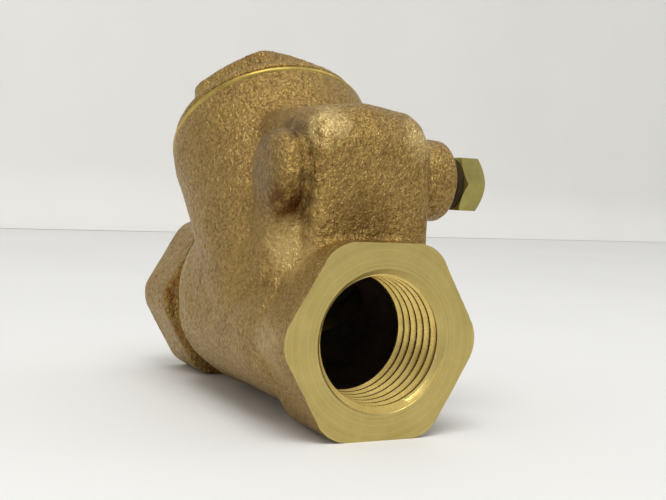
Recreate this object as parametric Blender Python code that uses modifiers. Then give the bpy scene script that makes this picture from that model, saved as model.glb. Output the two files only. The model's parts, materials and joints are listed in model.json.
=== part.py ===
"""Half-inch bronze swing check valve with a Y-shaped body, hexagonal threaded ends and a screwed cap.

Run it with blender --background --python part.py, or from Blender's text editor. Units are metres.
+X is the way the water flows, +Z is up, and the hinge pin lies along Y. The origin is in the middle
of the flat under the inlet's hexagon, which the valve rests on.
"""

import math

import bmesh
import bpy
from mathutils import Matrix

# The run: two hexagonal ends on one flow axis.
HEX_FLATS = 0.0286
HEX_LENGTH = 0.012
HEX_CORNER_RADIUS = 0.005
FACE_TO_FACE = 0.066
FLOW_HEIGHT = HEX_FLATS / 2
INLET_FACE = -HEX_LENGTH / 2
OUTLET_FACE = INLET_FACE + FACE_TO_FACE
BARREL_RADIUS = 0.0132
BARREL_WIDENING = 1.22
BARREL_END = 0.038
OUTLET_BARREL_RADIUS = 0.0130
GLOBE_RADIUS = 0.0166
GLOBE_CENTRE = (0.034, 0.0, 0.017)
SHOULDER_CENTRE = (0.0135, 0.0, 0.0245)
SHOULDER_HALF_SIZE = (0.0120, 0.0142, 0.0160)

# Waterway. The sockets are bored to the pitch line of a half-inch taper pipe thread.
THREAD_DEPTH = 0.0127
THREAD_RADIUS = 0.0099
THREAD_TAPER = 1 / 32
COUNTERSINK_RADIUS = 0.01086
COUNTERSINK_DEPTH = 0.0009
PASSAGE_RADIUS = 0.0079
PASSAGE_TAPER = 0.0023
INLET_PASSAGE_END = 0.0125
OUTLET_PASSAGE_START = 0.026
CAVITY_RADIUS = 0.0116
CAVITY_CENTRE = (0.035, 0.0, 0.0166)

# The neck leans downstream. Heights on it are measured from where its axis crosses the flow axis.
NECK_TILT = math.radians(40)
NECK_FOOT = 0.0131
NECK_RADIUS = 0.0172
NECK_LIP_RADIUS = 0.0178
NECK_TOP = 0.0387
SEAT_HEIGHT = 0.0062
SEAT_PORT_RADIUS = 0.0069
SEAT_LIP_RADIUS = 0.009
CHAMBER_FLOOR = 0.005
CHAMBER_RADIUS = 0.0122
CHAMBER_UPPER_RADIUS = 0.0134
CAP_THREAD_START = 0.0295
CAP_BORE_RADIUS = 0.0139

# The hinge housing across the front of the neck, with a boss at each end of the pin.
HINGE_X = 0.007
HINGE_Z = 0.0377
BOSS_Z = 0.038
HOUSING_FRONT = -0.00145
HOUSING_BACK = 0.022
HOUSING_FOOT = 0.02
HOUSING_TOP = 0.048
HOUSING_HALF_WIDTH = 0.0098
HOUSING_EDGE = 0.006
BOSS_RADIUS = 0.00645
BOSS_EDGE = 0.0018
BLIND_BOSS_END = 0.0146
OPEN_BOSS_END = -0.0155
POCKET_HALF_WIDTH = 0.0046
POCKET_RADIUS = 0.0044

# Hinge pin and the plug that closes its bore.
PIN_RADIUS = 0.0016
PIN_START = -0.0126
PIN_END = 0.0128
PIN_BORE_END = 0.0131
PLUG_BORE_END = -0.0129
PLUG_BORE_RADIUS = 0.0034
PLUG_SHANK_RADIUS = 0.0031
PLUG_COLLAR_RADIUS = 0.0041
PLUG_COLLAR_START = -0.0168
PLUG_HEX_START = -0.0182
PLUG_HEX_END = -0.0223
PLUG_HEX_FLATS = 0.0084
PLUG_WASHER_THICKNESS = 0.0008

# Screwed cap.
FLANGE_RADIUS = 0.0176
FLANGE_HEIGHT = 0.039
SKIRT_RADIUS = 0.0136
SKIRT_BORE_RADIUS = 0.0108
SKIRT_BOTTOM = 0.031
CAP_HEX_RADIUS = 0.014
CAP_HEX_TURN = math.radians(12)
CAP_TOP = 0.0495
CAP_CROWN_RADIUS = 0.0116

# Disc and hanger, as heights above the neck's foot.
HANGER_EYE_RADIUS = 0.0036
HANGER_EYE_HALF_WIDTH = 0.004
HANGER_FOOT = 0.0111
HANGER_THICKNESS = 0.0024
HANGER_RING_RADIUS = 0.005
STEM_RADIUS = 0.0024
STEM_TOP = 0.0179
HOLDER_RADIUS = 0.0096
HOLDER_TOP = 0.0108
LOWER_STEM_RADIUS = 0.0016
LOWER_STEM_END = 0.0025
SEAT_DISC_RADIUS = 0.0086
SEAT_DISC_BOTTOM = 0.0065
SEAT_DISC_THICKNESS = 0.0024

GAP = 0.0003
ROUND_STEPS = 48
SMALL_STEPS = 32


def clear_scene():
    for item in list(bpy.data.objects):
        bpy.data.objects.remove(item, do_unlink=True)


def new_collection(name, helper=False):
    made = bpy.data.collections.new(name)
    bpy.context.scene.collection.children.link(made)
    made.hide_render = helper
    return made


def new_material(name, colour, roughness, metallic):
    made = bpy.data.materials.new(name)
    made.use_nodes = True
    shader = made.node_tree.nodes["Principled BSDF"]
    shader.inputs["Base Color"].default_value = (*colour, 1)
    shader.inputs["Roughness"].default_value = roughness
    shader.inputs["Metallic"].default_value = metallic
    return made


def new_axis(name, location, turn):
    axis = bpy.data.objects.new(name, None)
    PIECES.objects.link(axis)
    axis.matrix_world = Matrix.Translation(location) @ turn
    return axis


def place(mesh, name, axis, material=None):
    """A visible piece if it has a material, or else a helper that a Boolean uses."""
    item = bpy.data.objects.new(name, mesh)
    item.parent = axis
    if material:
        mesh.materials.append(material)
        PIECES.objects.link(item)
    else:
        HELPERS.objects.link(item)
        item.hide_render = True
        item.display_type = "WIRE"
    return item


def from_bmesh(shape, name, axis, material=None):
    mesh = bpy.data.meshes.new(name)
    bmesh.ops.recalc_face_normals(shape, faces=shape.faces)
    shape.to_mesh(mesh)
    shape.free()
    return place(mesh, name, axis, material)


def turned(profile, name, axis, material=None, steps=ROUND_STEPS):
    """A solid of revolution about the axis's Z, from (radius, height) points down its outer side."""
    mesh = bpy.data.meshes.new(name)
    points = [(radius, 0, height) for radius, height in profile]
    mesh.from_pydata(points, [(i, i + 1) for i in range(len(points) - 1)], [])
    item = place(mesh, name, axis, material)
    screw = item.modifiers.new("turn", "SCREW")
    screw.axis = "Z"
    screw.steps = screw.render_steps = steps
    screw.use_merge_vertices = True
    screw.merge_threshold = 0.00001
    return item


def rod(radius, start, end, name, axis, material=None, steps=SMALL_STEPS):
    return turned([(0, end), (radius, end), (radius, start), (0, start)], name, axis, material, steps)


def hexagon(corner_radius, start, end, turn, name, axis, material=None, rounding=0.0, chamfer=0.0):
    """A hexagonal bar along the axis's Z, with rounded long edges or chamfered ends."""
    shape = bmesh.new()
    middle = Matrix.Translation((0, 0, (start + end) / 2)) @ Matrix.Rotation(turn, 4, "Z")
    bmesh.ops.create_cone(
        shape, cap_ends=True, segments=6, radius1=corner_radius, radius2=corner_radius,
        depth=abs(end - start), matrix=middle,
    )
    if rounding:
        long_edges = [e for e in shape.edges if abs(e.verts[0].co.z - e.verts[1].co.z) > GAP]
        width = rounding * math.tan(math.radians(30))
        bmesh.ops.bevel(shape, geom=long_edges, offset=width, segments=5, profile=0.5, affect="EDGES")
    if chamfer:
        rim = [e for e in shape.edges if abs(e.verts[0].co.z - e.verts[1].co.z) < GAP]
        bmesh.ops.bevel(shape, geom=rim, offset=chamfer, segments=2, profile=0.5, affect="EDGES")
    return from_bmesh(shape, name, axis, material)


def corner_cutter(crown_radius, corner_radius, end, direction, name, axis):
    """A ring that takes the corners off one end of a hexagonal head, at 30 degrees to the end."""
    outer = corner_radius + 0.001
    drop = (outer - crown_radius) * math.tan(math.radians(30))
    outside, inside = end + direction * GAP, end - direction * drop
    section = [(crown_radius, outside), (outer, outside), (outer, inside), (crown_radius, end)]
    if direction < 0:
        section.reverse()
    return turned([*section, section[0]], name, axis)


def extruded(outline, half_width, name, axis, material=None):
    """A plate with this outline in the axis's XZ plane, as thick as twice its half width along Y."""
    shape = bmesh.new()
    face = shape.faces.new([shape.verts.new((x, -half_width, z)) for x, z in outline])
    moved = bmesh.ops.extrude_face_region(shape, geom=[face])["geom"]
    corners = [item for item in moved if isinstance(item, bmesh.types.BMVert)]
    bmesh.ops.translate(shape, verts=corners, vec=(0, 2 * half_width, 0))
    return from_bmesh(shape, name, axis, material)


def join(target, *tools):
    combine(target, "UNION", tools)


def cut(target, *tools):
    combine(target, "DIFFERENCE", tools)


def combine(target, operation, tools):
    for tool in tools:
        change = target.modifiers.new(tool.name, "BOOLEAN")
        change.operation = operation
        change.solver = "EXACT"
        change.object = tool


def smooth(item, degrees=35):
    item.data.shade_smooth()
    rule = item.modifiers.new("smooth", "EDGE_SPLIT")
    rule.split_angle = math.radians(degrees)


def socket_profile(depth):
    """Half-inch taper pipe socket, seen from its mouth at height 0 down into the body."""
    mouth = 2 * GAP
    inner = THREAD_RADIUS - THREAD_TAPER * THREAD_DEPTH
    return [
        (0, mouth),
        (COUNTERSINK_RADIUS, mouth),
        (COUNTERSINK_RADIUS, 0),
        (THREAD_RADIUS, -COUNTERSINK_DEPTH),
        (inner, -THREAD_DEPTH),
        (PASSAGE_RADIUS, -THREAD_DEPTH - PASSAGE_TAPER),
        (PASSAGE_RADIUS, -depth),
        (0, -depth),
    ]


def make_body_outside():
    """The cast shape: hexagonal ends, barrel, globe, leaning neck and the hinge housing with its bosses."""
    corner = HEX_FLATS / math.sqrt(3)
    ends = [
        hexagon(corner, start, start + HEX_LENGTH, 0, name, FLOW, material, rounding=HEX_CORNER_RADIUS)
        for start, name, material in (
            (INLET_FACE, "body", CAST_BRONZE),
            (OUTLET_FACE - HEX_LENGTH, "outlet_hexagon", None),
        )
    ]
    body = ends[0]
    barrel = turned(
        [
            (0, BARREL_END),
            (BARREL_RADIUS, BARREL_END),
            (BARREL_RADIUS, 0.010),
            (0.0128, 0.0045),
            (0.0115, 0.001),
            (0, 0.001),
        ],
        "barrel", FLOW,
    )
    barrel.scale = (1, BARREL_WIDENING, 1)
    outlet_barrel = rod(OUTLET_BARREL_RADIUS, 0.030, 0.056, "outlet_barrel", FLOW, steps=ROUND_STEPS)
    globe = bmesh.new()
    bmesh.ops.create_uvsphere(
        globe, u_segments=ROUND_STEPS, v_segments=ROUND_STEPS // 2, radius=GLOBE_RADIUS,
        matrix=Matrix.Translation(GLOBE_CENTRE),
    )
    globe = from_bmesh(globe, "globe", None)
    neck = turned(
        [
            (0, NECK_TOP),
            (NECK_LIP_RADIUS - GAP, NECK_TOP),
            (NECK_LIP_RADIUS, 0.0357),
            (0.0175, 0.032),
            (NECK_RADIUS, 0.026),
            (NECK_RADIUS, 0.010),
            (0.0165, 0.006),
            (0.0145, 0.001),
            (0.011, -0.003),
            (0, -0.0045),
        ],
        "neck", NECK,
    )
    housing = bmesh.new()
    size = (HOUSING_BACK - HOUSING_FRONT, 2 * HOUSING_HALF_WIDTH, HOUSING_TOP - HOUSING_FOOT)
    middle = ((HOUSING_BACK + HOUSING_FRONT) / 2, 0, (HOUSING_TOP + HOUSING_FOOT) / 2)
    bmesh.ops.create_cube(housing, size=1, matrix=Matrix.Translation(middle) @ Matrix.Diagonal((*size, 1)))
    bmesh.ops.bevel(
        housing, geom=housing.edges[:], offset=HOUSING_EDGE, segments=5, profile=0.5, affect="EDGES",
    )
    housing = from_bmesh(housing, "hinge_housing", None)
    bosses = turned(
        [
            (0, BLIND_BOSS_END),
            (BOSS_RADIUS - BOSS_EDGE, BLIND_BOSS_END),
            (BOSS_RADIUS - 0.3 * BOSS_EDGE, BLIND_BOSS_END - 0.3 * BOSS_EDGE),
            (BOSS_RADIUS, BLIND_BOSS_END - BOSS_EDGE),
            (BOSS_RADIUS, OPEN_BOSS_END + BOSS_EDGE / 2),
            (BOSS_RADIUS - BOSS_EDGE / 2, OPEN_BOSS_END),
            (0, OPEN_BOSS_END),
        ],
        "hinge_bosses", BOSSES,
    )
    shoulder = bmesh.new()
    bmesh.ops.create_uvsphere(
        shoulder, u_segments=ROUND_STEPS, v_segments=ROUND_STEPS // 2, radius=1,
        matrix=Matrix.Translation(SHOULDER_CENTRE) @ Matrix.Diagonal((*SHOULDER_HALF_SIZE, 1)),
    )
    shoulder = from_bmesh(shoulder, "shoulder", None)
    join(body, ends[1], barrel, outlet_barrel, globe, neck, shoulder, housing, bosses)
    return body


def cut_waterway(body):
    """Both sockets, the passage to the seat, the disc chamber in the neck and the way out."""
    sockets = [
        turned(socket_profile(depth), name, axis)
        for depth, name, axis in (
            (INLET_PASSAGE_END - INLET_FACE, "inlet_socket", INLET),
            (OUTLET_FACE - OUTLET_PASSAGE_START, "outlet_socket", OUTLET),
        )
    ]
    elbow = bmesh.new()
    bmesh.ops.create_uvsphere(
        elbow, u_segments=SMALL_STEPS, v_segments=SMALL_STEPS // 2, radius=PASSAGE_RADIUS + GAP / 3,
        matrix=Matrix.Translation((INLET_PASSAGE_END, 0, FLOW_HEIGHT)),
    )
    elbow = from_bmesh(elbow, "elbow", None)
    port = rod(SEAT_PORT_RADIUS, -0.001, SEAT_HEIGHT + GAP, "seat_port", NECK, steps=ROUND_STEPS)
    chamber = turned(
        [
            (0, NECK_TOP + 0.002),
            (CAP_BORE_RADIUS, NECK_TOP + 0.002),
            (CAP_BORE_RADIUS, CAP_THREAD_START),
            (CHAMBER_UPPER_RADIUS, CAP_THREAD_START - GAP),
            (CHAMBER_UPPER_RADIUS, 0.016),
            (CHAMBER_RADIUS, 0.014),
            (CHAMBER_RADIUS, CHAMBER_FLOOR),
            (SEAT_LIP_RADIUS, CHAMBER_FLOOR),
            (SEAT_LIP_RADIUS, SEAT_HEIGHT),
            (0, SEAT_HEIGHT),
        ],
        "chamber", NECK,
    )
    cavity = bmesh.new()
    bmesh.ops.create_uvsphere(
        cavity, u_segments=SMALL_STEPS, v_segments=SMALL_STEPS // 2, radius=CAVITY_RADIUS,
        matrix=Matrix.Translation(CAVITY_CENTRE),
    )
    cavity = from_bmesh(cavity, "cavity", None)
    cut(body, *sockets, elbow, port, chamber, cavity)


def cut_hinge_bore(body):
    """The pocket that the hanger swings in, the pin's bore and the threaded hole for its plug."""
    sweep = [(0, -POCKET_RADIUS), (0.010, -POCKET_RADIUS), (0.010, 0.0095), (0.007, 0.0088), (0, POCKET_RADIUS)]
    channel = extruded(sweep, POCKET_HALF_WIDTH, "hanger_channel", HINGE)
    pocket = rod(POCKET_RADIUS, -POCKET_HALF_WIDTH, POCKET_HALF_WIDTH, "hinge_pocket", PIN)
    bore = turned(
        [
            (0, PIN_BORE_END),
            (PIN_RADIUS + GAP, PIN_BORE_END),
            (PIN_RADIUS + GAP, PLUG_BORE_END),
            (PLUG_BORE_RADIUS, PLUG_BORE_END),
            (PLUG_BORE_RADIUS, OPEN_BOSS_END - 0.001),
            (0, OPEN_BOSS_END - 0.001),
        ],
        "pin_bore", PIN, steps=SMALL_STEPS,
    )
    cut(body, channel, pocket, bore)


def make_cap():
    """Screwed cap: a turned flange over a hollow threaded skirt, and a cast hexagon to turn it by."""
    cap = turned(
        [
            (0, 0.0445),
            (0.012, 0.0440),
            (0.0150, 0.0432),
            (0.0166, 0.0422),
            (FLANGE_RADIUS - GAP, 0.0405),
            (FLANGE_RADIUS, FLANGE_HEIGHT),
            (SKIRT_RADIUS, FLANGE_HEIGHT),
            (SKIRT_RADIUS, SKIRT_BOTTOM + 0.0008),
            (SKIRT_RADIUS - 0.0008, SKIRT_BOTTOM),
            (0, SKIRT_BOTTOM),
        ],
        "bonnet_cap", NECK, CAST_BRONZE,
    )
    grip = hexagon(CAP_HEX_RADIUS, 0.0415, CAP_TOP, CAP_HEX_TURN, "cap_hexagon", NECK)
    cut(grip, corner_cutter(CAP_CROWN_RADIUS, CAP_HEX_RADIUS, CAP_TOP, 1, "cap_corners", NECK))
    hollow = turned(
        [(0, 0.0435), (0.0070, 0.0430), (SKIRT_BORE_RADIUS, 0.0395), (SKIRT_BORE_RADIUS, 0.030), (0, 0.030)],
        "cap_hollow", NECK,
    )
    join(cap, grip)
    cut(cap, hollow)
    smooth(cap)


def make_pin_and_plug():
    """The loose hinge pin, and the hexagonal plug and washer that keep it in."""
    edge = 0.0003
    pin = turned(
        [
            (0, PIN_END),
            (PIN_RADIUS - edge, PIN_END),
            (PIN_RADIUS, PIN_END - edge),
            (PIN_RADIUS, PIN_START + edge),
            (PIN_RADIUS - edge, PIN_START),
            (0, PIN_START),
        ],
        "hinge_pin", PIN, BRASS, steps=SMALL_STEPS,
    )
    smooth(pin)
    plug = turned(
        [
            (0, PLUG_BORE_END - GAP),
            (PLUG_SHANK_RADIUS - edge, PLUG_BORE_END - GAP),
            (PLUG_SHANK_RADIUS, PLUG_BORE_END - GAP - edge),
            (PLUG_SHANK_RADIUS, PLUG_COLLAR_START),
            (PLUG_COLLAR_RADIUS, PLUG_COLLAR_START),
            (PLUG_COLLAR_RADIUS, PLUG_HEX_START - 0.0005),
            (0, PLUG_HEX_START - 0.0005),
        ],
        "hinge_pin_plug", PIN, BRASS, steps=SMALL_STEPS,
    )
    corner = PLUG_HEX_FLATS / math.sqrt(3)
    head = hexagon(corner, PLUG_HEX_END, PLUG_HEX_START, math.radians(90), "plug_head", PIN)
    crown = PLUG_HEX_FLATS / 2 - GAP
    cut(head, corner_cutter(crown, corner, PLUG_HEX_END, -1, "plug_outer_corners", PIN))
    cut(head, corner_cutter(crown, corner, PLUG_HEX_START, 1, "plug_inner_corners", PIN))
    join(plug, head)
    smooth(plug)
    washer_top = OPEN_BOSS_END - GAP
    washer = turned(
        ring_profile(PLUG_COLLAR_RADIUS, PLUG_SHANK_RADIUS + GAP, washer_top - PLUG_WASHER_THICKNESS, washer_top),
        "plug_washer", PIN, FIBRE, steps=SMALL_STEPS,
    )
    smooth(washer)


def ring_profile(outer, inner, bottom, top):
    """Closed section of a flat ring, run round so that its outer side goes down."""
    return [(inner, top), (outer, top), (outer, bottom), (inner, bottom), (inner, top)]


def make_hanger():
    """The arm that swings on the pin and carries the disc in a ring at its other end."""
    top = HANGER_FOOT + HANGER_THICKNESS - HINGE_HEIGHT
    foot = HANGER_FOOT - HINGE_HEIGHT
    reach = HINGE_REACH
    arm = extruded(
        [
            (0, -HANGER_EYE_RADIUS + 0.0004),
            (reach - 0.004, foot),
            (reach, foot),
            (reach, top),
            (reach - 0.0053, top),
            (reach - 0.0105, 0.0004),
            (0, HANGER_EYE_RADIUS - 0.0008),
        ],
        0.003, "disc_hanger", HINGE, BRONZE,
    )
    eye = rod(HANGER_EYE_RADIUS, -HANGER_EYE_HALF_WIDTH, HANGER_EYE_HALF_WIDTH, "hanger_eye", PIN)
    ring = rod(HANGER_RING_RADIUS, HANGER_FOOT, HANGER_FOOT + HANGER_THICKNESS, "hanger_ring", NECK)
    pin_hole = rod(PIN_RADIUS + GAP, -0.006, 0.006, "hanger_pin_hole", PIN)
    stem_hole = rod(STEM_RADIUS + GAP, 0.009, 0.015, "hanger_stem_hole", NECK)
    join(arm, eye, ring)
    cut(arm, pin_hole, stem_hole)
    smooth(arm)


def make_disc():
    """The disc: a holder with a stem, a soft seat disc under it, and the nuts and washers that keep them."""
    disc_top = SEAT_DISC_BOTTOM + SEAT_DISC_THICKNESS
    rim = SEAT_DISC_RADIUS + GAP
    holder = turned(
        [
            (0, STEM_TOP),
            (STEM_RADIUS - GAP, STEM_TOP),
            (STEM_RADIUS, STEM_TOP - GAP),
            (STEM_RADIUS, HOLDER_TOP),
            (HOLDER_RADIUS - GAP, HOLDER_TOP),
            (HOLDER_RADIUS, HOLDER_TOP - GAP),
            (HOLDER_RADIUS, SEAT_DISC_BOTTOM + 0.0008),
            (rim, SEAT_DISC_BOTTOM + 0.0008),
            (rim, disc_top + GAP),
            (LOWER_STEM_RADIUS, disc_top + GAP),
            (LOWER_STEM_RADIUS, LOWER_STEM_END),
            (0, LOWER_STEM_END),
        ],
        "disc_holder", NECK, BRONZE,
    )
    smooth(holder)
    hole = LOWER_STEM_RADIUS + GAP
    washer_top = SEAT_DISC_BOTTOM - GAP
    rings = (
        ("seat_disc", SEAT_DISC_RADIUS, hole, SEAT_DISC_BOTTOM, disc_top, RUBBER),
        ("seat_disc_washer", 0.0042, hole, washer_top - 0.0008, washer_top, BRASS),
        ("hanger_washer", 0.0041, STEM_RADIUS + GAP, 0.0138, 0.0145, BRASS),
    )
    for name, outer, inner, bottom, top, material in rings:
        smooth(turned(ring_profile(outer, inner, bottom, top), name, NECK, material))
    nuts = (
        ("seat_disc_nut", 0.0064, hole, 0.0030, washer_top - 0.0008 - GAP),
        ("hanger_nut", 0.0076, STEM_RADIUS + GAP, 0.0148, 0.0174),
    )
    for name, flats, inner, bottom, top in nuts:
        nut = hexagon(flats / math.sqrt(3), bottom, top, 0, name, NECK, BRASS, chamfer=0.0003)
        cut(nut, rod(inner, bottom - 0.001, top + 0.001, name + "_hole", NECK))
        smooth(nut)


clear_scene()
PIECES = new_collection("swing_check_valve")
HELPERS = new_collection("helpers", helper=True)

CAST_BRONZE = new_material("cast bronze", (0.46, 0.30, 0.14), 0.55, 0.9)
BRONZE = new_material("machined bronze", (0.60, 0.42, 0.20), 0.35, 1.0)
BRASS = new_material("turned brass", (0.58, 0.47, 0.18), 0.32, 1.0)
RUBBER = new_material("black seat rubber", (0.02, 0.02, 0.02), 0.6, 0.0)
FIBRE = new_material("dark fibre", (0.10, 0.06, 0.035), 0.8, 0.0)

DOWNSTREAM = Matrix.Rotation(math.radians(90), 4, "Y")
UPSTREAM = Matrix.Rotation(math.radians(-90), 4, "Y")
LEAN = Matrix.Rotation(NECK_TILT, 4, "Y")
ACROSS = Matrix.Rotation(math.radians(-90), 4, "X")

# Where the hinge is in the leaning neck's own frame: its height on the neck, and its distance to the axis.
HINGE_HEIGHT = (HINGE_X - NECK_FOOT) * math.sin(NECK_TILT) + (HINGE_Z - FLOW_HEIGHT) * math.cos(NECK_TILT)
HINGE_REACH = (HINGE_Z - FLOW_HEIGHT) * math.sin(NECK_TILT) - (HINGE_X - NECK_FOOT) * math.cos(NECK_TILT)

FLOW = new_axis("flow_axis", (0, 0, FLOW_HEIGHT), DOWNSTREAM)
INLET = new_axis("inlet_axis", (INLET_FACE, 0, FLOW_HEIGHT), UPSTREAM)
OUTLET = new_axis("outlet_axis", (OUTLET_FACE, 0, FLOW_HEIGHT), DOWNSTREAM)
NECK = new_axis("neck_axis", (NECK_FOOT, 0, FLOW_HEIGHT), LEAN)
HINGE = new_axis("hinge_axis", (HINGE_X, 0, HINGE_Z), LEAN)
PIN = new_axis("pin_axis", (HINGE_X, 0, HINGE_Z), ACROSS)
BOSSES = new_axis("boss_axis", (HINGE_X, 0, BOSS_Z), ACROSS)
bpy.context.view_layer.update()

casting = make_body_outside()
cut_waterway(casting)
cut_hinge_bore(casting)
smooth(casting)
make_cap()
make_pin_and_plug()
make_hanger()
make_disc()
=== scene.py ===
"""Half-inch bronze swing check valve: a cast Y body, a screwed cap, and a disc that swings on a loose pin.

Lengths are in metres. +X is the way the water flows, +Z is up, and the hinge pin lies along Y.
"""

import json
import math

import bmesh
import bpy
from mathutils import Matrix, Vector, noise


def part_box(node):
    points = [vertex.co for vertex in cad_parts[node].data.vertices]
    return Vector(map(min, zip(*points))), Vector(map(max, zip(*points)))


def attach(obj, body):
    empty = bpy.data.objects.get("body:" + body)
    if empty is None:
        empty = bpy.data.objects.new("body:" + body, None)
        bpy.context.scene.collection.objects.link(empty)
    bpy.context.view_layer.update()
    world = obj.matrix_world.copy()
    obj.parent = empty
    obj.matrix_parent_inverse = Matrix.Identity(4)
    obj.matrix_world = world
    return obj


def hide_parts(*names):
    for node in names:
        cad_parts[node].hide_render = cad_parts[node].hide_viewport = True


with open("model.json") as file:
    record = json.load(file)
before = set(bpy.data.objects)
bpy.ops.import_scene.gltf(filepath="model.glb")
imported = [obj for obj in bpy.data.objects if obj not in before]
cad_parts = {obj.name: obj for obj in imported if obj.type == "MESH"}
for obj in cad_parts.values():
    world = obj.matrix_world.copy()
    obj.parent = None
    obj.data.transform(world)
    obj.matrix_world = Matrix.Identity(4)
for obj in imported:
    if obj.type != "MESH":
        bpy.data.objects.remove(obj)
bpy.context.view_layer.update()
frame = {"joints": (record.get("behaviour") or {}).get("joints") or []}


# Body casting: one sand casting of bronze, two hexagonal pipe ends, a round belly and a neck that
# leans downstream, with the hinge housing and its two bosses across the neck's front.
# Shells that overlap are fused into one skin, whose corners are then rounded as a mould rounds them.
joints = {joint["name"]: joint for joint in frame["joints"]}
hinge = Vector(joints["disc_swing"]["pos_m"])
neck_foot = Vector(joints["disc_spin"]["pos_m"])
neck_up = Vector(joints["cap_lift"]["axis"])
body_low, body_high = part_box("body")

hex_flats = 0.0286
hex_length = 0.012
hex_height = hex_flats / 2
along_flow = Matrix.Translation((0, 0, hex_height)) @ Matrix.Rotation(math.radians(90), 4, "Y")
on_neck = Matrix.Translation(neck_foot) @ Matrix.Rotation(math.atan2(neck_up.x, neck_up.z), 4, "Y")
on_pin = Matrix.Translation(hinge) @ Matrix.Rotation(math.radians(-90), 4, "X")


def piece_of(name, shape):
    """An object made of a finished bmesh, in the scene at the origin."""
    mesh = bpy.data.meshes.new(name)
    bmesh.ops.recalc_face_normals(shape, faces=shape.faces)
    shape.to_mesh(mesh)
    shape.free()
    piece = bpy.data.objects.new(name, mesh)
    bpy.context.scene.collection.objects.link(piece)
    return piece


def turned(name, profile, placement, steps=96):
    """A solid turned about its own Z, from (radius, height) points, then put in its place."""
    shape = bmesh.new()
    rim = [shape.verts.new((radius, 0, height)) for radius, height in profile]
    edges = [shape.edges.new(pair) for pair in zip(rim, rim[1:])]
    bmesh.ops.spin(
        shape, geom=rim + edges, axis=(0, 0, 1), cent=(0, 0, 0), angle=math.tau, steps=steps, use_merge=True
    )
    bmesh.ops.remove_doubles(shape, verts=shape.verts, dist=1e-7)
    bmesh.ops.transform(shape, matrix=placement, verts=shape.verts)
    return piece_of(name, shape)


def rod(name, radius, start, end, placement, steps=96):
    return turned(name, [(0, end), (radius, end), (radius, start), (0, start)], placement, steps)


def ball(name, radius, centre, stretch=(1, 1, 1)):
    shape = bmesh.new()
    placement = Matrix.Translation(centre) @ Matrix.Diagonal((*stretch, 1))
    bmesh.ops.create_uvsphere(shape, u_segments=64, v_segments=32, radius=radius, matrix=placement)
    return piece_of(name, shape)


def hexagon(name, flats, start, end, placement, corner_round=0.0, turn=0.0):
    """A hexagonal bar along its own Z, with its long edges rounded."""
    shape = bmesh.new()
    corner = flats / math.sqrt(3)
    bmesh.ops.create_cone(
        shape, cap_ends=True, segments=6, radius1=corner, radius2=corner, depth=end - start,
        matrix=Matrix.Translation((0, 0, (start + end) / 2)) @ Matrix.Rotation(turn, 4, "Z"),
    )
    if corner_round:
        long_edges = [e for e in shape.edges if abs(e.verts[0].co.z - e.verts[1].co.z) > 1e-5]
        width = corner_round * math.tan(math.radians(30))
        bmesh.ops.bevel(shape, geom=long_edges, offset=width, segments=6, profile=0.5, affect="EDGES")
    bmesh.ops.transform(shape, matrix=placement, verts=shape.verts)
    return piece_of(name, shape)


def mirrored(side, corners):
    """The same corners on the +Y side for 1, or on the -Y side for -1."""
    return [(x, side * y, z) for x, y, z in corners]


def lump(name, corners):
    """The tight skin round a few corner points."""
    shape = bmesh.new()
    for corner in corners:
        shape.verts.new(corner)
    bmesh.ops.convex_hull(shape, input=shape.verts)
    return piece_of(name, shape)


def settle(piece):
    """Makes the piece's modifiers final."""
    shaped = piece.evaluated_get(bpy.context.evaluated_depsgraph_get())
    mesh = bpy.data.meshes.new_from_object(shaped)
    piece.modifiers.clear()
    piece.data = mesh


def scrap(*pieces):
    for piece in pieces:
        bpy.data.objects.remove(piece, do_unlink=True)


def cast(name, shells, grain, rounding):
    """Fuses overlapping shells into one skin of this grain, and rounds its corners and hollows."""
    shape = bmesh.new()
    for shell in shells:
        shape.from_mesh(shell.data)
    scrap(*shells)
    piece = piece_of(name, shape)
    skin = piece.modifiers.new("skin", "REMESH")
    skin.mode = "VOXEL"
    skin.voxel_size = grain
    soft = piece.modifiers.new("soft", "SMOOTH")
    soft.factor = 0.5
    soft.iterations = rounding
    settle(piece)
    return piece


def push_out(piece, distance_at):
    """Moves each point of the skin outward by the distance that its place gives."""
    outward = [vertex.normal.copy() for vertex in piece.data.vertices]
    for vertex, direction in zip(piece.data.vertices, outward):
        vertex.co = vertex.co + direction * distance_at(vertex.co)


def weather(piece, depth, size, seed):
    """Moves the skin in and out by a slow noise, as a sand mould leaves it."""
    shift = Vector((seed, 2.7 * seed, -seed))
    push_out(piece, lambda place: depth * noise.fractal(place / size + shift, 0.9, 2.0, 3))


def machine(piece, cutter, operation="DIFFERENCE"):
    """Cuts the piece, or joins to it, and keeps the cutter's own finish on the new faces."""
    change = piece.modifiers.new("machining", "BOOLEAN")
    change.operation = operation
    change.solver = "MANIFOLD"
    change.material_mode = "TRANSFER"
    change.object = cutter
    settle(piece)
    scrap(cutter)


def smooth(piece):
    """Shades the piece as one soft skin, apart from the edges that bend by more than 32 degrees."""
    piece.data.shade_smooth()
    piece.data.set_sharp_from_angle(angle=math.radians(32))


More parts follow.
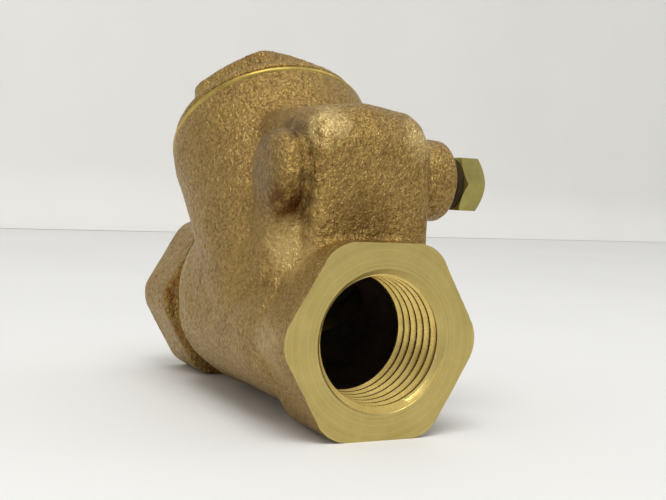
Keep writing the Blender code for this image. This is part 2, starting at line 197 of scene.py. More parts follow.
barrel_profile = [
    (0, 0.038), (0.0132, 0.038), (0.0132, 0.010), (0.0128, 0.0045), (0.0115, 0.001), (0, 0.001),
]
neck_profile = [
    (0, 0.0395), (0.0177, 0.0395), (0.0178, 0.0357), (0.0175, 0.032), (0.0172, 0.026), (0.0172, 0.010),
    (0.0165, 0.006), (0.0145, 0.001), (0.011, -0.003), (0, -0.0045),
]
boss_height = 0.0380
boss_profile = [
    (0, 0.0147), (0.0040, 0.0146), (0.0055, 0.0140), (0.0064, 0.0130), (0.0066, 0.0122), (0.0066, 0.0111),
    (0.0062, 0.0105), (0.0056, 0.0100), (0.0055, 0.0094), (0.0055, -0.0098), (0.0062, -0.0106),
    (0.0065, -0.0118), (0.0065, -0.0152), (0.0060, -0.0158), (0, -0.0158),
]
on_bosses = Matrix.Translation((hinge.x, 0, boss_height)) @ Matrix.Rotation(math.radians(-90), 4, "X")
barrel_widening = Matrix.Diagonal((1, 1.22, 1, 1))
housing_front = -0.0019
housing_side = 0.0099
belly_centre = Vector((0.034, 0, 0.017))
neck_radius = 0.0168
belly_blend = []
for degrees in range(0, 360, 15):
    across, out = math.cos(math.radians(degrees)), math.sin(math.radians(degrees))
    for height in (0.009, 0.017):
        belly_blend.append(on_neck @ Vector((neck_radius * across, neck_radius * out, height)))
    for x, reach in ((0, 0.0163), (-0.005, 0.0157)):
        belly_blend.append(belly_centre + Vector((x, reach * out, reach * across)))
shells = [
    hexagon("inlet hexagon", hex_flats, body_low.x - 0.001, body_low.x + hex_length, along_flow, 0.005),
    hexagon("outlet hexagon", hex_flats, body_high.x - hex_length, body_high.x + 0.001, along_flow, 0.005),
    turned("barrel", barrel_profile, barrel_widening @ along_flow),
    rod("outlet barrel", 0.0128, 0.030, 0.056, along_flow),
    ball("belly", 0.0166, belly_centre),
    lump("belly blend", belly_blend),
    turned("neck", neck_profile, on_neck),
    turned("bosses", boss_profile, on_bosses),
    ball("shoulder", 1, (0.0135, 0, 0.0245), (0.0120, 0.0142, 0.0160)),
]
housing_corners = [
    (housing_front, 0, 0.018), (housing_front, 0, 0.0440), (0.0004, 0, 0.0476),
    (0.0030, 0, 0.0490), (0.024, 0, 0.0490), (0.024, 0, 0.018),
    (-0.0016, 0.0086, 0.018), (-0.0016, 0.0086, 0.0425), (0.0006, 0.0084, 0.0462),
    (0.0036, 0.0078, 0.0480), (0.024, 0.0078, 0.0480),
    (-0.0004, housing_side, 0.018), (-0.0004, housing_side, 0.0414), (0.0024, housing_side, 0.0452),
    (0.024, housing_side, 0.0455), (0.024, housing_side, 0.018),
]
saddle_corners = [
    (0.0010, 0.0080, 0.018), (0.0010, 0.0098, 0.018), (0.020, 0.0156, 0.018), (0.020, 0.008, 0.018),
    (0.0030, 0.0085, 0.033), (0.0095, 0.0124, 0.035), (0.020, 0.0130, 0.035), (0.020, 0.008, 0.035),
]
web_corners = [
    (0.0040, 0.0080, 0.0350), (0.0040, 0.0108, 0.0345), (0.0068, 0.0128, 0.0340),
    (0.0120, 0.0130, 0.0345), (0.0022, 0.0080, 0.0220), (0.0022, 0.0106, 0.0225),
    (0.0075, 0.0146, 0.0220), (0.0150, 0.0158, 0.0200), (0.0150, 0.0080, 0.0200),
]
housing_halves = []
for side in (-1, 1):
    housing_halves.append(lump("hinge housing half", mirrored(side, housing_corners)))
    shells.append(lump("saddle", mirrored(side, saddle_corners)))
    shells.append(lump("boss web", mirrored(side, web_corners)))
boss_chin = [
    (0.0030, 0.0112, 0.0350), (0.0036, 0.0140, 0.0355), (0.0104, 0.0142, 0.0355), (0.0110, 0.0100, 0.0350),
    (0.0048, 0.0108, 0.0298), (0.0056, 0.0130, 0.0302), (0.0092, 0.0136, 0.0302), (0.0100, 0.0100, 0.0298),
    (0.0070, 0.0146, 0.0340), (0.0030, 0.0100, 0.0350),
]
shells.append(lump("boss chin", boss_chin))
shells.append(cast("hinge housing", housing_halves, grain=0.0005, rounding=12))
body = cast("body_casting", shells, grain=0.00042, rounding=9)
weather(body, depth=0.00007, size=0.0045, seed=3.1)
weather(body, depth=0.00005, size=0.0012, seed=8.3)
flash_height, flash_half_width = 0.00009, 0.0003
push_out(body, lambda place: flash_height * math.exp(-((place.y / flash_half_width) ** 2)))


# Finishes of the body: the dull skin that the sand leaves, the yellow metal under a cutter, and the dark skin
# round the cores that shaped the waterway, drawn near black as painted shade.
def new_finish(name):
    finish = bpy.data.materials.new(name)
    finish.use_nodes = True
    return finish, finish.node_tree, finish.node_tree.nodes["Principled BSDF"]


def node(tree, kind, inputs=None, **settings):
    """A shader node with its settings, and its inputs as values or as links from other sockets."""
    made = tree.nodes.new("ShaderNode" + kind)
    for key, value in settings.items():
        setattr(made, key, value)
    for key, value in (inputs or {}).items():
        if isinstance(value, bpy.types.NodeSocket):
            tree.links.new(value, made.inputs[key])
        else:
            made.inputs[key].default_value = value
    return made


def place_in_mm(tree):
    place = node(tree, "TexCoord").outputs["Object"]
    return node(tree, "Mapping", {"Vector": place, "Scale": (1000, 1000, 1000)}).outputs["Vector"]


def noise_at(tree, place, scale, detail=3.0, roughness=0.55, distortion=0.0):
    inputs = {
        "Vector": place, "Scale": scale, "Detail": detail, "Roughness": roughness, "Distortion": distortion,
    }
    return node(tree, "TexNoise", inputs).outputs["Fac"]


def spread(tree, value, low, high, start=0.0, end=1.0):
    inputs = {"Value": value, "From Min": low, "From Max": high, "To Min": start, "To Max": end}
    return node(tree, "MapRange", inputs).outputs["Result"]


def tint(tree, share, below, above):
    """The colour between two colours or sockets, at this share."""
    mixed = node(tree, "Mix", data_type="RGBA")
    for socket, value in ((mixed.inputs[0], share), (mixed.inputs[6], below), (mixed.inputs[7], above)):
        if isinstance(value, bpy.types.NodeSocket):
            tree.links.new(value, socket)
        else:
            socket.default_value = (*value, 1) if isinstance(value, tuple) else value
    return mixed.outputs[2]


def near(tree, place, centre, radius):
    """1 at a point of the casting, falling to 0 at this distance from it, both in millimetres."""
    gap = node(tree, "VectorMath", {0: place, 1: centre}, operation="DISTANCE").outputs["Value"]
    return spread(tree, gap, 0.0, radius, 1.0, 0.0)


def times(tree, first, second):
    return node(tree, "Math", {0: first, 1: second}, operation="MULTIPLY").outputs["Value"]


def relief(tree, height, distance, strength=1.0, under=None):
    inputs = {"Height": height, "Distance": distance, "Strength": strength}
    if under is not None:
        inputs["Normal"] = under
    return node(tree, "Bump", inputs).outputs["Normal"]


def cast_skin(name, stains_and_painted_light):
    """Sand-cast bronze: brown oxide in its pits, bare glints on its grains, and patches of colour at given
    points, some of them painted shade and painted highlights.
    """
    finish, tree, shader = new_finish(name)
    place = place_in_mm(tree)
    patches = spread(tree, noise_at(tree, place, 0.16, 3.0), 0.36, 0.64)
    blotches = spread(tree, noise_at(tree, place, 0.55, 4.0, 0.6), 0.40, 0.66)
    grains = spread(tree, noise_at(tree, place, 1.9, 3.0, 0.7), 0.36, 0.66)
    cells = node(tree, "TexVoronoi", {"Vector": place, "Scale": 1.3, "Randomness": 1.0})
    pits = spread(tree, cells.outputs["Distance"], 0.05, 0.30)
    colour = tint(tree, patches, (0.190, 0.106, 0.028), (0.275, 0.172, 0.044))
    colour = tint(tree, times(tree, blotches, 0.50), colour, (0.270, 0.160, 0.062))
    colour = tint(tree, times(tree, grains, 0.75), colour, (0.520, 0.350, 0.110))
    colour = tint(tree, spread(tree, pits, 0.0, 1.0, 0.6, 0.0), colour, (0.075, 0.036, 0.011))
    ragged = spread(tree, noise_at(tree, place, 0.5, 5.0, 0.7), 0.30, 0.70)
    for centre, radius, strength, patch_colour in stains_and_painted_light:
        share = times(tree, near(tree, place, centre, radius), ragged)
        colour = tint(tree, spread(tree, share, 0.06, 0.36, 0.0, strength), colour, patch_colour)
    tree.links.new(colour, shader.inputs["Base Color"])
    shader.inputs["Metallic"].default_value = 0.88
    gloss = times(tree, grains, spread(tree, patches, 0.0, 1.0, 0.7, 1.0))
    tree.links.new(spread(tree, gloss, 0.0, 1.0, 0.54, 0.24), shader.inputs["Roughness"])
    coarse = relief(tree, noise_at(tree, place, 0.8, 3.0, 0.6), 0.00055, 1.0)
    pitted = relief(tree, pits, 0.00006, 0.7, coarse)
    fine = relief(tree, noise_at(tree, place, 2.4, 2.0, 0.65), 0.00034, 1.0, pitted)
    tree.links.new(fine, shader.inputs["Normal"])
    return finish


def turned_face(name, dull, bright, roughness, rings=0.0):
    """Metal as a cutter leaves it: clouds, smears and scratches, and rings round the flow's line if asked."""
    finish, tree, shader = new_finish(name)
    place = place_in_mm(tree)
    clouds = spread(tree, noise_at(tree, place, 0.22, 4.0, 0.6), 0.35, 0.65)
    smears = spread(tree, noise_at(tree, place, 1.1, 5.0, 0.65), 0.35, 0.70)
    colour = tint(tree, clouds, dull, bright)
    colour = tint(tree, times(tree, smears, 0.12), colour, tuple(0.62 * part for part in dull))
    grooves = relief(tree, noise_at(tree, place, 4.0, 4.0, 0.7), 0.00002, 0.5)
    if rings:
        flat = node(tree, "VectorMath", {0: place, 1: (0, 1, 1)}, operation="MULTIPLY").outputs["Vector"]
        line = (0, 0, 1000 * hex_height)
        from_line = node(tree, "VectorMath", {0: flat, 1: line}, operation="DISTANCE").outputs["Value"]
        ring = node(
            tree, "TexNoise", {"W": from_line, "Scale": 1.6, "Detail": 5.0, "Roughness": 0.7},
            noise_dimensions="1D",
        ).outputs["Fac"]
        shine = tuple(1.3 * part for part in bright)
        colour = tint(tree, spread(tree, ring, 0.40, 0.66, 0.0, rings), colour, shine)
        grooves = relief(tree, ring, 0.00004, rings, grooves)
    tree.links.new(colour, shader.inputs["Base Color"])
    shader.inputs["Metallic"].default_value = 0.9
    tree.links.new(spread(tree, smears, 0.0, 1.0, roughness, roughness + 0.14), shader.inputs["Roughness"])
    tree.links.new(grooves, shader.inputs["Normal"])
    return finish


# Each patch: its centre and reach in millimetres, its strength and its colour. The boss's end is grey-brown,
# the skin is darker brown under the boss, on the housing's front and behind the outlet hexagon, and lighter
# on the inlet hexagon's near corner edge. Painted shade darkens the hollow above the boss and the crease
# between the boss and the housing, and painted highlights brighten the slope under the boss and the housing's
# two top corners.
body_stains_and_painted_light = [
    ((7.0, 14.6, 38.0), 8.0, 0.60, (0.180, 0.116, 0.054)),
    ((2.6, 12.5, 33.5), 5.0, 0.90, (0.125, 0.050, 0.010)),
    # Painted shade in the hollow above the boss.
    ((4.0, 10.6, 44.8), 3.0, 0.75, (0.110, 0.066, 0.024)),
    ((8.5, 12.2, 45.6), 5.0, 0.80, (0.110, 0.066, 0.024)),
    # Painted shade along the crease between the boss and the housing.
    ((0.4, 10.4, 31.0), 1.8, 0.60, (0.140, 0.080, 0.024)),
    ((0.4, 10.4, 34.0), 1.8, 0.60, (0.140, 0.080, 0.024)),
    ((0.4, 10.4, 37.5), 1.8, 0.60, (0.140, 0.080, 0.024)),
    ((1.0, 10.4, 41.0), 1.8, 0.60, (0.140, 0.080, 0.024)),
    # Painted highlight on the slope under the boss.
    ((3.0, 11.5, 26.5), 6.5, 0.50, (0.800, 0.580, 0.230)),
    ((0.5, 15.0, 13.0), 6.0, 0.30, (0.700, 0.540, 0.270)),
    # Painted highlights on the housing's two top corners.
    ((1.0, 7.5, 45.0), 5.0, 0.45, (0.850, 0.660, 0.300)),
    ((0.0, -7.5, 44.0), 4.5, 0.45, (0.850, 0.660, 0.300)),
    ((44.5, 13.0, 6.0), 6.0, 0.90, (0.240, 0.090, 0.014)),
    ((44.5, 15.0, 17.0), 6.0, 0.80, (0.240, 0.090, 0.014)),
    ((-2.0, 2.0, 32.0), 7.0, 0.55, (0.150, 0.078, 0.018)),
]
sand_skin = cast_skin("sand cast bronze", body_stains_and_painted_light)
cut_bronze = turned_face("machined bronze", (0.470, 0.370, 0.125), (0.545, 0.430, 0.152), 0.32, rings=0.45)
# The core skin is partly its own dark oxide and partly painted shade: it is near black so that the deep
# waterway stays black.
core_skin_and_painted_shade, tree, shader = new_finish("core-cast bronze, near black as painted shade")
place = place_in_mm(tree)
painted_shade_mottling = spread(tree, noise_at(tree, place, 0.5, 4.0, 0.6), 0.35, 0.65)
tree.links.new(tint(tree, painted_shade_mottling, (0.008, 0.006, 0.005), (0.030, 0.017, 0.010)), shader.inputs["Base Color"])
tree.links.new(spread(tree, painted_shade_mottling, 0.0, 1.0, 0.65, 0.9), shader.inputs["Roughness"])
shader.inputs["Metallic"].default_value = 0.0
shader.inputs["Specular IOR Level"].default_value = 0.25
tree.links.new(relief(tree, noise_at(tree, place, 1.2, 3.0, 0.6), 0.0003, 0.8), shader.inputs["Normal"])
body.data.materials.append(sand_skin)


# Waterway: sand cores leave the passages, the belly's hollow and the pocket that the hanger swings in. Their
# skin stays rough, because no cutter reaches it; it is dark core skin, drawn near black as painted shade for
# the deep waterway.
passage_radius, mouth_radius = 0.0079, 0.0093
inlet_passage = [
    (0, 0.0125), (passage_radius, 0.0125), (mouth_radius, 0.0085), (mouth_radius, 0.0055), (0, 0.0055),
]
outlet_passage = [
    (0, 0.0485), (mouth_radius, 0.0485), (mouth_radius, 0.0455), (passage_radius, 0.042),
    (passage_radius, 0.026), (0, 0.026),
]
neck_hollow = [
    (0, 0.031), (0.0134, 0.031), (0.0134, 0.016), (0.0122, 0.014), (0.0122, 0.0075), (0, 0.0075),
]
core_shells = [
    turned("inlet passage", inlet_passage, along_flow),
    ball("elbow", passage_radius, (0.0125, 0, hex_height)),
    turned("outlet passage", outlet_passage, along_flow),
    ball("belly hollow", 0.0116, (0.035, 0, 0.0166)),
    turned("neck hollow", neck_hollow, on_neck),
    rod("hinge pocket", 0.0046, -0.0047, 0.0047, on_pin),
    lump(
        "hanger channel",
        [
            hinge + on_neck.to_3x3() @ Vector((x, y, z))
            for x, z in ((0, -0.0046), (0.011, -0.0046), (0.011, 0.0090), (0.007, 0.0088), (0, 0.0046))
            for y in (-0.0047, 0.0047)
        ],
    ),
]
core = cast("core", core_shells, grain=0.0006, rounding=3)
core.data.materials.append(core_skin_and_painted_shade)
machine(body, core)


# Machined places on the body: faced ends, taper pipe threads of 14 turns an inch in both sockets,
# the seat and the cap's thread in the neck, and the bores for the hinge pin and its plug.
pipe_pitch = 0.0254 / 14
pipe_depth = 0.0127
pipe_bore = 0.0095
pipe_groove = 0.00118
pipe_taper = 1 / 32


def cut_with(piece, finish, cutter, operation="DIFFERENCE"):
    cutter.data.materials.append(finish)
    machine(piece, cutter, operation)


def thread_tool(name, pitch, base, depth, start, length, placement, tip=0.00005, taper=0.0):
    """A V-shaped ridge wound to the right round its own Z: it cuts one thread's groove.

    A depth above 0 cuts outward into a bore, and one below 0 cuts inward into a stud.
    """
    shape = bmesh.new()
    steps = 72
    count = int(steps * length / pitch)
    reach = -math.copysign(0.0002, depth)
    rings = []
    for i in range(count + 1):
        run_out = min(1.0, (i + 1) / (0.25 * steps), (count - i + 1) / (0.25 * steps))
        rise = depth * run_out
        height = start + pitch * i / steps
        radius = base - taper * (height - start)
        foot_half = tip + abs(rise - reach) * math.tan(math.radians(30))
        turn = math.tau * i / steps
        ring = []
        for away, half in ((reach, -foot_half), (reach, foot_half), (rise, tip), (rise, -tip)):
            across = radius + away
            ring.append(shape.verts.new((across * math.cos(turn), across * math.sin(turn), height + half)))
        rings.append(ring)
    for before, after in zip(rings, rings[1:]):
        for k in range(4):
            shape.faces.new((before[k], before[(k + 1) % 4], after[(k + 1) % 4], after[k]))
    shape.faces.new(rings[0])
    shape.faces.new(rings[-1])
    bmesh.ops.transform(shape, matrix=placement, verts=shape.verts)
    return piece_of(name, shape)


bright_bronze = turned_face("freshly tapped bronze", (0.68, 0.50, 0.150), (0.82, 0.61, 0.195), 0.20)
into_inlet = Matrix.Translation((body_low.x, 0, hex_height)) @ Matrix.Rotation(math.radians(90), 4, "Y")
into_outlet = Matrix.Translation((body_high.x, 0, hex_height)) @ Matrix.Rotation(math.radians(-90), 4, "Y")
for into in (into_inlet, into_outlet):
    cut_with(body, cut_bronze, rod("facing cut", 0.030, -0.004, 0, into))
    bore_end = pipe_bore - pipe_taper * pipe_depth
    bore = [
        (0, pipe_depth), (bore_end, pipe_depth), (pipe_bore, 0.0), (pipe_bore, -0.001), (0, -0.001),
    ]
    countersink = [(0, 0.0007), (0.0098, 0.0007), (0.01055, 0), (0.0110, -0.0004), (0, -0.0004)]
    cut_with(body, bright_bronze, turned("pipe bore", bore, into, 144))
    pipe_tap = thread_tool(
        "pipe tap", pipe_pitch, pipe_bore, pipe_groove, -0.0015, pipe_depth + 0.0008, into, taper=pipe_taper
    )
    cut_with(body, bright_bronze, pipe_tap)
    cut_with(body, cut_bronze, turned("countersink", countersink, into, 144))

# Painted shade: the seat deep in the neck gets a dark bronze, for the shade inside the valve.
painted_shade_bronze = turned_face("bronze darkened as painted shade", (0.10, 0.065, 0.025), (0.15, 0.10, 0.04), 0.45)
seat_height = 0.0062
neck_top = 0.0387
seat_profile = [
    (0, 0.0080), (0.0122, 0.0080), (0.0122, 0.005), (0.009, 0.005), (0.0089, seat_height),
    (0.0069, seat_height), (0.0069, 0.0005), (0, 0.0005),
]
cut_with(body, painted_shade_bronze, turned("seat cut", seat_profile, on_neck))
cap_bore = [
    (0, 0.0420), (0.0190, 0.0420), (0.0190, neck_top), (0.0149, neck_top), (0.0141, neck_top - 0.0008),
    (0.0139, neck_top - 0.0009), (0.0139, 0.0295), (0.0133, 0.0290), (0, 0.0290),
]
cut_with(body, cut_bronze, turned("cap bore", cap_bore, on_neck))
cap_pitch = 0.0016
cut_with(body, cut_bronze, thread_tool("cap tap", cap_pitch, 0.0139, 0.0008, 0.0285, 0.0108, on_neck))
pin_bore = [
    (0, 0.0131), (0.0019, 0.0131), (0.0019, -0.0129), (0.0034, -0.0129), (0.0034, -0.0150),
    (0.0038, -0.0155), (0.0056, -0.0155), (0.0056, -0.0165), (0, -0.0165),
]
cut_with(body, cut_bronze, turned("pin bore", pin_bore, on_pin, 48))
plug_pitch = 0.0009
cut_with(body, cut_bronze, thread_tool("plug tap", plug_pitch, 0.0034, 0.00045, -0.0160, 0.0030, on_pin))
smooth(body)
# The faced ends stay flat up to their edges.
for face in body.data.polygons:
    face.use_smooth = abs(face.normal.x) < 0.9999
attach(body, "valve")
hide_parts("body")


# Screwed cap: a casting too. Its flange and its threaded skirt are turned, and the crowned
# hexagon that a wrench turns stays as it was cast.
cap_flats = 0.02425
cap_hex = hexagon("cap hexagon", cap_flats, 0.0405, 0.0495, on_neck, 0.0015, math.radians(12))
cap_crown = [
    (0, 0.0535), (0.020, 0.0535), (0.020, 0.0452), (0.0160, 0.0466), (0.0130, 0.0484), (0.0105, 0.0494),
    (0, 0.0497),
]
machine(cap_hex, turned("crown", cap_crown, on_neck))
cap_root = [
    (0, 0.0445), (0.0118, 0.0442), (0.0150, 0.0434), (0.0168, 0.0420), (0.0171, 0.0406), (0, 0.0406),
]
cap = cast("screwed_cap", [cap_hex, turned("cap root", cap_root, on_neck)], grain=0.0004, rounding=8)
weather(cap, depth=0.00006, size=0.0040, seed=5.7)
weather(cap, depth=0.00003, size=0.0011, seed=2.9)
cap.data.materials.append(sand_skin)
cap_flange = [
    (0, 0.0420), (0.0140, 0.0420), (0.0158, 0.0412), (0.0168, 0.0404), (0.0174, 0.0400),
    (0.0176, 0.0397), (0.0176, 0.0393), (0.0174, 0.0390), (0.0136, 0.0390), (0.0136, 0.0318),
    (0.0128, 0.0310), (0, 0.0310),
]
dulled_bronze = turned_face("dulled flange bronze", (0.42, 0.30, 0.070), (0.60, 0.44, 0.115), 0.24)
cut_with(cap, dulled_bronze, turned("cap flange", cap_flange, on_neck, 144), "UNION")
cut_with(cap, cut_bronze, thread_tool("cap thread", cap_pitch, 0.0136, -0.0008, 0.0300, 0.0085, on_neck))
cap_hollow = [(0, 0.0435), (0.0070, 0.0430), (0.0108, 0.0395), (0.0108, 0.030), (0, 0.030)]
cut_with(cap, sand_skin, turned("cap hollow", cap_hollow, on_neck))
smooth(cap)
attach(cap, "cap")
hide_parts("bonnet_cap")


# Hinge pin: a plain turned rod of brass, its ends chamfered, that lies loose in its bore.
turned_brass = turned_face("turned brass", (0.30, 0.255, 0.075), (0.40, 0.34, 0.105), 0.30)


def dress(piece, finish, cad_body, node_name):
    """Gives a finished piece its edges and finish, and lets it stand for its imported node."""
    piece.data.materials.clear()
    piece.data.materials.append(finish)
    edge = piece.modifiers.new("worn edge", "BEVEL")
    edge.width = 0.00007
    edge.segments = 2
    edge.limit_method = "ANGLE"
    edge.angle_limit = math.radians(28)
    settle(piece)
    smooth(piece)
    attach(piece, cad_body)
    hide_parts(node_name)


pin_profile = [
    (0, 0.0128), (0.0009, 0.0128), (0.0013, 0.01265), (0.0016, 0.0123), (0.0016, 0.0045),
    (0.00157, 0.0043), (0.00157, -0.0043), (0.0016, -0.0045), (0.0016, -0.0121), (0.0013, -0.01245),
    (0.0009, -0.0126), (0, -0.0126),
]
dress(turned("loose_hinge_pin", pin_profile, on_pin, 64), turned_brass, "pin", "hinge_pin")


# Plug: turned from hexagonal brass bar, with a collar that presses the washer on the boss and a
# threaded shank that closes the pin's bore. A 30-degree tool takes the corners off its head.
plug_outer, plug_inner = -0.0223, -0.0182
plug_flats = 0.0084
plug = hexagon("side_plug", plug_flats, plug_outer, plug_inner, on_pin, turn=math.radians(90))
plug_corners = [
    (0, plug_inner), (0.0041, plug_inner), (0.0053, plug_inner - 0.00065), (0.0053, plug_outer + 0.00085),
    (0.0038, plug_outer), (0, plug_outer),
]
machine(plug, turned("plug corners", plug_corners, on_pin), "INTERSECT")
plug_shank = [
    (0, -0.0132), (0.0027, -0.0132), (0.0031, -0.0136), (0.0031, -0.0163), (0.0029, -0.01645),
    (0.0029, -0.0167), (0.0036, -0.0168), (0.0037, -0.0169), (0.0037, -0.0188), (0, -0.0188),
]
machine(plug, turned("plug shank", plug_shank, on_pin, 72), "UNION")
machine(plug, thread_tool("plug die", plug_pitch, 0.0031, -0.0004, -0.0163, 0.0030, on_pin))
dress(plug, turned_brass, "plug", "hinge_pin_plug")


# Plug washer: a ring punched from pressed fibre, squeezed on the boss. It is drawn near black and wraps up
# round the plug's collar as painted shade, for the shade on the collar beside the boss.
fibre, tree, shader = new_finish("dark pressed fibre")
place = place_in_mm(tree)
strands = spread(tree, noise_at(tree, place, 3.5, 5.0, 0.7, 1.2), 0.35, 0.65)
browns = tint(tree, strands, (0.016, 0.009, 0.003), (0.050, 0.030, 0.011))
tree.links.new(browns, shader.inputs["Base Color"])
shader.inputs["Roughness"].default_value = 0.85
shader.inputs["Specular IOR Level"].default_value = 0.2
tree.links.new(relief(tree, strands, 0.00003, 0.6), shader.inputs["Normal"])
plug_washer = [
    (0.0034, -0.0159), (0.0039, -0.0158), (0.0042, -0.0160), (0.0043, -0.0165), (0.0043, -0.0175),
    (0.0042, -0.0179), (0.0040, -0.0180), (0.0038, -0.0178), (0.0038, -0.0167), (0.0034, -0.0166),
    (0.0034, -0.0159),
]
dress(turned("fibre_washer", plug_washer, on_pin, 72), fibre, "plug", "plug_washer")


# Hanger: a small bronze casting, an eye on the pin and a ring for the disc's stem with an arm
# between them. Only the eye's ends, the ring's faces and both holes are machined.
eye_radius, eye_half_width = 0.0036, 0.0040
ring_bottom, ring_top = 0.0111, 0.0135
to_neck = on_neck.inverted()
eye = to_neck @ hinge
arm_corners = []
for half_width, x, z in (
    (0.0024, eye.x, eye.z - 0.0031), (0.0024, eye.x, eye.z + 0.0026),
    (0.0022, eye.x + 0.0080, eye.z + 0.0012), (0.0030, -0.0046, ring_top - 0.0002),
    (0.0030, -0.0020, ring_top - 0.0002), (0.0030, -0.0020, ring_bottom + 0.0002),
    (0.0030, -0.0046, ring_bottom + 0.0002),
):
    arm_corners += [on_neck @ Vector((x, side * half_width, z)) for side in (-1, 1)]
hanger_shells = [
    rod("hanger eye", eye_radius, -eye_half_width - 0.0006, eye_half_width + 0.0006, on_pin),
    rod("hanger ring", 0.0049, ring_bottom - 0.0006, ring_top + 0.0006, on_neck),
    lump("hanger arm", arm_corners),
]
hanger = cast("disc_arm", hanger_shells, grain=0.00026, rounding=4)
weather(hanger, depth=0.00004, size=0.0025, seed=1.7)
hanger.data.materials.append(sand_skin)
for start, end in ((eye_half_width, 0.007), (-0.007, -eye_half_width)):
    cut_with(hanger, cut_bronze, rod("eye face", 0.0050, start, end, on_pin))
cut_with(hanger, cut_bronze, rod("ring top face", 0.0046, ring_top, 0.0180, on_neck))
cut_with(hanger, cut_bronze, rod("ring bottom face", 0.0060, 0.0090, ring_bottom, on_neck))
eye_hole = [
    (0, 0.006), (0.0029, 0.006), (0.0019, 0.0037), (0.0019, -0.0037), (0.0029, -0.006), (0, -0.006),
]
cut_with(hanger, cut_bronze, turned("eye hole", eye_hole, on_pin, 48))
cut_with(hanger, cut_bronze, rod("stem hole", 0.0027, 0.009, 0.016, on_neck, 48))
smooth(hanger)
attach(hanger, "hanger")
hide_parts("disc_hanger")


# Disc: a turned bronze holder with a stem at each end. The rubber seat disc lies in its cup, kept by
# a washer and a nut below. The stem goes through the hanger's ring, with a washer and a nut on top.
def nut(name, flats, bottom, top, bore, pitch):
    """A hexagonal nut on the neck's line, its corners turned off at both ends, threaded inside."""
    made = hexagon(name, flats, bottom, top, on_neck)
    face, rim, drop = 0.475 * flats, 0.60 * flats, 0.07 * flats
    corners = [(0, top), (face, top), (rim, top - drop), (rim, bottom + drop), (face, bottom), (0, bottom)]
    machine(made, turned("nut corners", corners, on_neck), "INTERSECT")
    mouth = bore + 0.0003
    hole = [
        (0, top + 0.0005), (mouth, top + 0.0005), (mouth, top), (bore, top - 0.0003),
        (bore, bottom + 0.0003), (mouth, bottom), (mouth, bottom - 0.0005), (0, bottom - 0.0005),
    ]
    machine(made, turned("nut hole", hole, on_neck, 48))
    thread_length = top - bottom + 0.0008
    machine(made, thread_tool("nut tap", pitch, bore, 0.00028, bottom - 0.0004, thread_length, on_neck))
    return made


holder_profile = [
    (0, 0.0179), (0.0019, 0.0179), (0.0023, 0.0176), (0.0023, 0.0112), (0.0026, 0.0108),
    (0.0052, 0.0108), (0.0060, 0.0104), (0.0088, 0.0103), (0.0094, 0.0102), (0.0096, 0.0099),
    (0.0096, 0.0078), (0.0094, 0.0074), (0.0091, 0.0073), (0.0089, 0.0075), (0.0089, 0.0092),
    (0.0017, 0.0092), (0.0016, 0.0090), (0.0016, 0.0028), (0.0013, 0.0025), (0, 0.0025),
]
holder = turned("disc_cup", holder_profile, on_neck)
stem_pitch, lower_stem_pitch = 0.0007, 0.0005
machine(holder, thread_tool("stem die", stem_pitch, 0.0023, -0.0003, 0.0137, 0.0048, on_neck))
machine(holder, thread_tool("lower stem die", lower_stem_pitch, 0.0016, -0.0002, 0.0020, 0.0040, on_neck))
turned_bronze = turned_face("turned bronze", (0.40, 0.26, 0.11), (0.50, 0.34, 0.15), 0.30)
dress(holder, turned_bronze, "disc", "disc_holder")

rubber, tree, shader = new_finish("black seat rubber")
place = place_in_mm(tree)
bloom = spread(tree, noise_at(tree, place, 0.8, 4.0, 0.6), 0.35, 0.70)
tree.links.new(tint(tree, bloom, (0.012, 0.012, 0.012), (0.028, 0.027, 0.025)), shader.inputs["Base Color"])
tree.links.new(spread(tree, bloom, 0.0, 1.0, 0.52, 0.70), shader.inputs["Roughness"])
tree.links.new(relief(tree, noise_at(tree, place, 5.0, 3.0, 0.6), 0.00001, 0.5), shader.inputs["Normal"])
seat_profile = [
    (0.0020, 0.0089), (0.0084, 0.0089), (0.0086, 0.0087), (0.0086, 0.0068), (0.0084, 0.0066),
    (0.0081, 0.0065), (0.0073, 0.00652), (0.0071, 0.0066), (0.0067, 0.0066), (0.0065, 0.00652),
    (0.0021, 0.0065), (0.0020, 0.0066), (0.0020, 0.0089),
]
dress(turned("rubber_seat", seat_profile, on_neck), rubber, "disc", "seat_disc")


def flat_washer(outer, inner, bottom, top):
    edge = 0.12 * (top - bottom)
    return [
        (inner, top - edge), (inner + edge, top), (outer - 2 * edge, top), (outer, top - 2 * edge),
        (outer, bottom + edge), (outer - edge, bottom), (inner + edge, bottom), (inner, bottom + edge),
        (inner, top - edge),
    ]


# Painted shade: the seat's washer and nut deep inside the valve get a near-black brass, for the shade there.
painted_shade_brass = turned_face("brass darkened as painted shade", (0.045, 0.030, 0.012), (0.075, 0.050, 0.020), 0.55)
seat_washer = turned("seat_washer", flat_washer(0.0042, 0.0018, 0.0054, 0.0062), on_neck, 64)
dress(seat_washer, painted_shade_brass, "disc", "seat_disc_washer")
seat_nut = nut("seat_nut", 0.0064, 0.0030, 0.0051, 0.0018, lower_stem_pitch)
dress(seat_nut, painted_shade_brass, "disc", "seat_disc_nut")
stem_washer = turned("stem_washer", flat_washer(0.0041, 0.0026, 0.0138, 0.0145), on_neck, 64)
dress(stem_washer, turned_brass, "disc", "hanger_washer")
stem_nut = nut("stem_nut", 0.0076, 0.0148, 0.0174, 0.0025, stem_pitch)
dress(stem_nut, turned_brass, "disc", "hanger_nut")


# Where the valve stands: a pale table with a pale wall behind it, under a soft ceiling light, with a
# second light that evens out the wall. The camera looks into the inlet from just above the table.
def stage_finish(name, colour):
    finish, tree, shader = new_finish(name)
    place = place_in_mm(tree)
    mottling = spread(tree, noise_at(tree, place, 0.01, 3.0), 0.3, 0.7)
    shade = tuple(0.97 * part for part in colour)
    tree.links.new(tint(tree, mottling, colour, shade), shader.inputs["Base Color"])
    shader.inputs["Roughness"].default_value = 0.7
    return finish


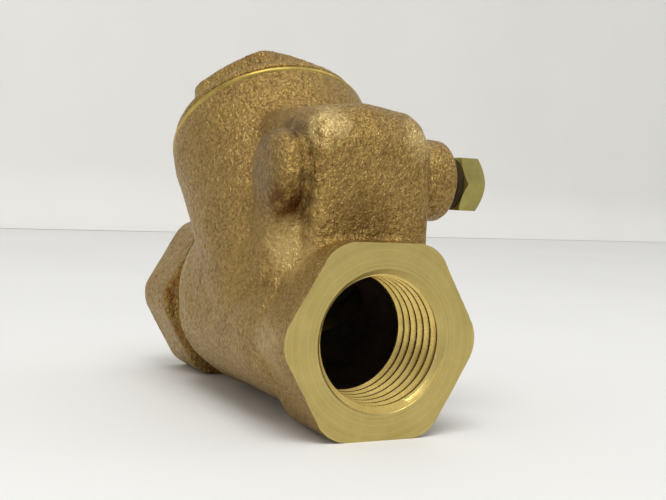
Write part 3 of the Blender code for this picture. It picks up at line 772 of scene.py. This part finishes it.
table = bmesh.new()
bmesh.ops.create_grid(table, x_segments=1, y_segments=1, size=3.0)
table = piece_of("table", table)
table.data.materials.append(stage_finish("white table", (0.80, 0.80, 0.785)))
wall = bmesh.new()
foot_left, foot_right = Vector((0.62, 0.05, 0)), Vector((0.83, -1.45, 0))
wall_run = (foot_right - foot_left).normalized()
wall_turn = Matrix.Translation((foot_left + foot_right) / 2) @ Matrix.Rotation(
    math.atan2(wall_run.y, wall_run.x), 4, "Z"
)
bend = 0.05
wall_height = 2.0
outline = []
for degrees in range(0, 91, 9):
    turn = math.radians(degrees)
    outline.append((bend * math.sin(turn) - bend, bend - bend * math.cos(turn)))
outline.append((0, wall_height))
for along in (-3.0, 3.0):
    for across, height in outline:
        wall.verts.new(wall_turn @ Vector((along, across, height + 0.0002)))
wall.verts.ensure_lookup_table()
for k in range(len(outline) - 1):
    wall.faces.new([wall.verts[i] for i in (k, k + 1, len(outline) + k + 1, len(outline) + k)])
wall = piece_of("wall", wall)
wall.data.materials.append(stage_finish("grey wall", (0.88, 0.875, 0.85)))
smooth(wall)

ceiling_light = bpy.data.objects.new("ceiling light", bpy.data.lights.new("ceiling light", "AREA"))
ceiling_light.data.energy = 3.9
ceiling_light.data.shape = "RECTANGLE"
ceiling_light.data.size = 0.5
ceiling_light.data.size_y = 0.4
ceiling_light.location = (-0.30, 0.14, 0.72)
ceiling_aim = Vector((0.02, 0, 0.03)) - ceiling_light.location
ceiling_light.rotation_euler = ceiling_aim.to_track_quat("-Z", "Y").to_euler()
bpy.context.scene.collection.objects.link(ceiling_light)

wall_light = bpy.data.objects.new("wall light", bpy.data.lights.new("wall light", "AREA"))
wall_light.data.energy = 2.4
wall_light.data.size = 1.0
wall_light.location = (0.25, -1.1, 1.1)
wall_aim = Vector((0.85, -1.2, 0.35)) - wall_light.location
wall_light.rotation_euler = wall_aim.to_track_quat("-Z", "Y").to_euler()
bpy.context.scene.collection.objects.link(wall_light)

world = bpy.data.worlds.new("room")
world.use_nodes = True
sky = world.node_tree
height = node(sky, "SeparateXYZ", {"Vector": node(sky, "TexCoord").outputs["Generated"]}).outputs["Z"]
room = tint(sky, spread(sky, height, -0.05, 0.35), (0.50, 0.49, 0.47), (1.0, 0.99, 0.97))
sky.links.new(room, sky.nodes["Background"].inputs["Color"])
sky.nodes["Background"].inputs["Strength"].default_value = 0.64
bpy.context.scene.world = world

bpy.context.scene.view_settings.view_transform = "Standard"

view_turn, view_down, view_roll = 0.471, 0.056, 0.050
level = Vector((math.cos(view_turn), -math.sin(view_turn), 0))
ahead = math.cos(view_down) * level - math.sin(view_down) * Vector((0, 0, 1))
right = ahead.cross(Vector((0, 0, 1))).normalized()
above = right.cross(ahead)
rolled_right = math.cos(view_roll) * right + math.sin(view_roll) * above
rolled_above = math.cos(view_roll) * above - math.sin(view_roll) * right
camera = bpy.data.objects.new("camera", bpy.data.cameras.new("camera"))
camera.data.lens = 55.68
camera.data.sensor_width = 36
camera.data.clip_start = 0.001
camera.matrix_world = Matrix.Translation((-0.13306, 0.0736, 0.0354)) @ Matrix(
    (rolled_right, rolled_above, -ahead)
).transposed().to_4x4()
bpy.context.scene.collection.objects.link(camera)
bpy.context.scene.camera = camera
